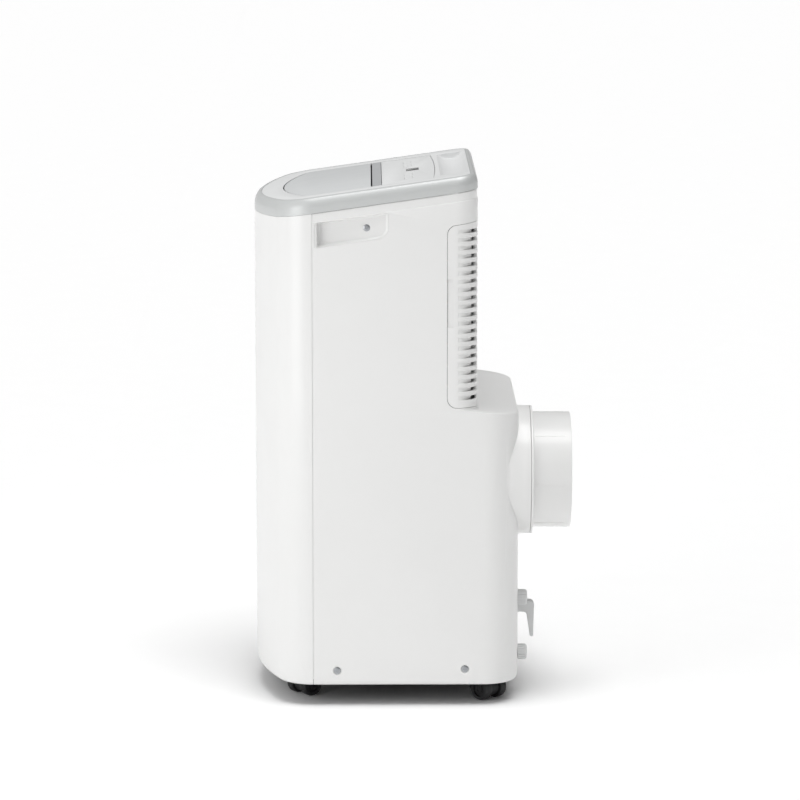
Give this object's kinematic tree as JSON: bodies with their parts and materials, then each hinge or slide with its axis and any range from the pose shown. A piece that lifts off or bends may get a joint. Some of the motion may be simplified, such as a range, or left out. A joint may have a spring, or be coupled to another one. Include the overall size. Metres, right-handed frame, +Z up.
{
  "type": "portable air conditioner",
  "caption": "Upright portable room air conditioner on swivel casters, with a sloped top, flap outlet, rear intake grille and round exhaust spigot.",
  "frame": {"origin": "on the floor under the middle of the overall bounding box", "axes": "+Z up, the front faces -Y, the exhaust spigot leaves towards +Y, width along X"},
  "size_m": [0.35, 0.4035, 0.6773],
  "materials": {
    "white_shell": "glossy white moulded plastic",
    "white_trim": "satin light grey-white moulded plastic",
    "silver_band": "satin silver paint on plastic",
    "grey_flap": "satin mid grey moulded plastic",
    "grey_plastic": "matt grey moulded plastic",
    "black_plastic": "matt black moulded plastic",
    "dark_lens": "gloss dark acrylic lens",
    "screw_steel": "zinc-plated steel",
    "aluminium_fin": "thin aluminium fins",
    "copper": null,
    "compressor_paint": "black enamelled steel",
    "board_green": "green glass-fibre board",
    "motor_steel": "galvanised steel",
    "filter_mesh": "woven plastic filter in a frame",
    "tread": "hard black wheel compound"
  },
  "bodies": {
    "cabinet": {"front_cover": "white_shell", "rear_cover": "white_shell", "top_trim": "silver_band", "top_cover": "white_trim", "outlet_duct": "grey_plastic", "flap_motor": "motor_steel", "control_panel": "white_trim", "display_lens": "dark_lens", "handle_cup_right": "white_shell", "handle_cup_left": "white_shell", "handle_screw_right": "screw_steel", "handle_screw_left": "screw_steel", "side_screw_right_front": "screw_steel", "side_screw_right_rear": "screw_steel", "side_screw_left_front": "screw_steel", "side_screw_left_rear": "screw_steel", "exhaust_guard": "grey_plastic", "cord_hook": "white_trim", "cord_gland": "black_plastic", "base_pan": "black_plastic", "mid_deck": "grey_plastic", "evaporator_fins": "aluminium_fin", "evaporator_tube": "copper", "condenser_fins": "aluminium_fin", "condenser_tube": "copper", "evaporator_scroll": "grey_plastic", "evaporator_fan_motor": "motor_steel", "condenser_scroll": "grey_plastic", "condenser_fan_motor": "motor_steel", "compressor": "compressor_paint", "suction_line": "copper", "splash_motor": "motor_steel", "electrical_box": "motor_steel", "control_board": "board_green"},
    "flap": {"outlet_flap": "grey_flap"},
    "vane_1": {"vane_1": "grey_plastic"},
    "vane_2": {"vane_2": "grey_plastic"},
    "vane_3": {"vane_3": "grey_plastic"},
    "vane_4": {"vane_4": "grey_plastic"},
    "vane_link": {"vane_link": "grey_plastic"},
    "button_power": {"button_power": "white_trim"},
    "button_mode": {"button_mode": "white_trim"},
    "button_minus": {"button_minus": "white_trim"},
    "button_plus": {"button_plus": "white_trim"},
    "grille": {"inlet_grille": "white_shell", "air_filter": "filter_mesh"},
    "adapter": {"duct_adapter": "white_shell"},
    "cap_upper": {"drain_cap_upper": "white_trim"},
    "cap_lower": {"drain_cap_lower": "white_trim"},
    "evaporator_fan": {"evaporator_fan": "grey_plastic"},
    "condenser_fan": {"condenser_fan": "grey_plastic"},
    "splash_wheel": {"splash_wheel": "white_trim"},
    "caster_rear_right": {"caster_rear_right": "black_plastic"},
    "wheels_rear_right": {"wheels_rear_right": "tread"},
    "caster_rear_left": {"caster_rear_left": "black_plastic"},
    "wheels_rear_left": {"wheels_rear_left": "tread"},
    "caster_front_right": {"caster_front_right": "black_plastic"},
    "wheels_front_right": {"wheels_front_right": "tread"},
    "caster_front_left": {"caster_front_left": "black_plastic"},
    "wheels_front_left": {"wheels_front_left": "tread"}
  },
  "joints": [
    {"name": "flap_hinge", "type": "hinge", "parent": "cabinet", "child": "flap", "pos_m": [0, -0.05515, 0.65318], "axis": [-1, 0, 0], "range_deg": [0, 65]},
    {"name": "vane_1_swing", "type": "hinge", "parent": "cabinet", "child": "vane_1", "pos_m": [-0.084, -0.09375, 0.612], "axis": [0, 0, 1], "range_deg": [-25, 25]},
    {"name": "vane_2_swing", "type": "hinge", "parent": "cabinet", "child": "vane_2", "pos_m": [-0.028, -0.09375, 0.612], "axis": [0, 0, 1], "range_deg": [-25, 25]},
    {"name": "vane_3_swing", "type": "hinge", "parent": "cabinet", "child": "vane_3", "pos_m": [0.028, -0.09375, 0.612], "axis": [0, 0, 1], "range_deg": [-25, 25]},
    {"name": "vane_4_swing", "type": "hinge", "parent": "cabinet", "child": "vane_4", "pos_m": [0.084, -0.09375, 0.612], "axis": [0, 0, 1], "range_deg": [-25, 25]},
    {"name": "vane_link_slide", "type": "slide", "parent": "cabinet", "child": "vane_link", "axis": [1, 0, 0], "range_m": [-0.0064, 0.0064]},
    {"name": "button_power_press", "type": "slide", "parent": "cabinet", "child": "button_power", "axis": [0, 0.1416, -0.9899], "range_m": [0, 0.0008], "stiffness_N_per_m": 900, "springref_m": -0.0006},
    {"name": "button_mode_press", "type": "slide", "parent": "cabinet", "child": "button_mode", "axis": [0, 0.1416, -0.9899], "range_m": [0, 0.0008], "stiffness_N_per_m": 900, "springref_m": -0.0006},
    {"name": "button_minus_press", "type": "slide", "parent": "cabinet", "child": "button_minus", "axis": [0, 0.1416, -0.9899], "range_m": [0, 0.0008], "stiffness_N_per_m": 900, "springref_m": -0.0006},
    {"name": "button_plus_press", "type": "slide", "parent": "cabinet", "child": "button_plus", "axis": [0, 0.1416, -0.9899], "range_m": [0, 0.0008], "stiffness_N_per_m": 900, "springref_m": -0.0006},
    {"name": "grille_pull", "type": "slide", "parent": "cabinet", "child": "grille", "axis": [0, 1, 0], "range_m": [0, 0.08]},
    {"name": "adapter_pull", "type": "slide", "parent": "cabinet", "child": "adapter", "axis": [0, 1, 0], "range_m": [0, 0.06]},
    {"name": "cap_upper_pull", "type": "slide", "parent": "cabinet", "child": "cap_upper", "axis": [0, 1, 0], "range_m": [0, 0.03]},
    {"name": "cap_lower_pull", "type": "slide", "parent": "cabinet", "child": "cap_lower", "axis": [0, 1, 0], "range_m": [0, 0.03]},
    {"name": "evaporator_fan_spin", "type": "hinge", "parent": "cabinet", "child": "evaporator_fan", "pos_m": [0, -0.06175, 0.487], "axis": [0, 1, 0], "continuous": true},
    {"name": "condenser_fan_spin", "type": "hinge", "parent": "cabinet", "child": "condenser_fan", "pos_m": [0.114, -0.02875, 0.247], "axis": [1, 0, 0], "continuous": true},
    {"name": "splash_wheel_spin", "type": "hinge", "parent": "cabinet", "child": "splash_wheel", "pos_m": [-0.07, 0.06525, 0.078], "axis": [0, 1, 0], "continuous": true},
    {"name": "caster_rear_right_swivel", "type": "hinge", "parent": "cabinet", "child": "caster_rear_right", "pos_m": [0.125, 0.09125, 0.0312], "axis": [0, 0, 1], "continuous": true},
    {"name": "wheels_rear_right_roll", "type": "hinge", "parent": "caster_rear_right", "child": "wheels_rear_right", "pos_m": [0.13147, 0.0975, 0.015], "axis": [0.6947, -0.7193, 0], "continuous": true},
    {"name": "caster_rear_left_swivel", "type": "hinge", "parent": "cabinet", "child": "caster_rear_left", "pos_m": [-0.125, 0.09125, 0.0312], "axis": [0, 0, 1], "continuous": true},
    {"name": "wheels_rear_left_roll", "type": "hinge", "parent": "caster_rear_left", "child": "wheels_rear_left", "pos_m": [-0.1295, 0.09904, 0.015], "axis": [0.866, 0.5, 0], "continuous": true},
    {"name": "caster_front_right_swivel", "type": "hinge", "parent": "cabinet", "child": "caster_front_right", "pos_m": [0.098, -0.13175, 0.0312], "axis": [0, 0, 1], "continuous": true},
    {"name": "wheels_front_right_roll", "type": "hinge", "parent": "caster_front_right", "child": "wheels_front_right", "pos_m": [0.10379, -0.13864, 0.015], "axis": [-0.766, -0.6428, 0], "continuous": true},
    {"name": "caster_front_left_swivel", "type": "hinge", "parent": "cabinet", "child": "caster_front_left", "pos_m": [-0.098, -0.13175, 0.0312], "axis": [0, 0, 1], "continuous": true},
    {"name": "wheels_front_left_roll", "type": "hinge", "parent": "caster_front_left", "child": "wheels_front_left", "pos_m": [-0.0942, -0.12359, 0.015], "axis": [0.9063, -0.4226, 0], "continuous": true}
  ],
  "couplings": [
    {"joint": "vane_1_swing", "follows": "vane_link_slide", "rad_per_m": 66.667},
    {"joint": "vane_2_swing", "follows": "vane_link_slide", "rad_per_m": 66.667},
    {"joint": "vane_3_swing", "follows": "vane_link_slide", "rad_per_m": 66.667},
    {"joint": "vane_4_swing", "follows": "vane_link_slide", "rad_per_m": 66.667}
  ]
}
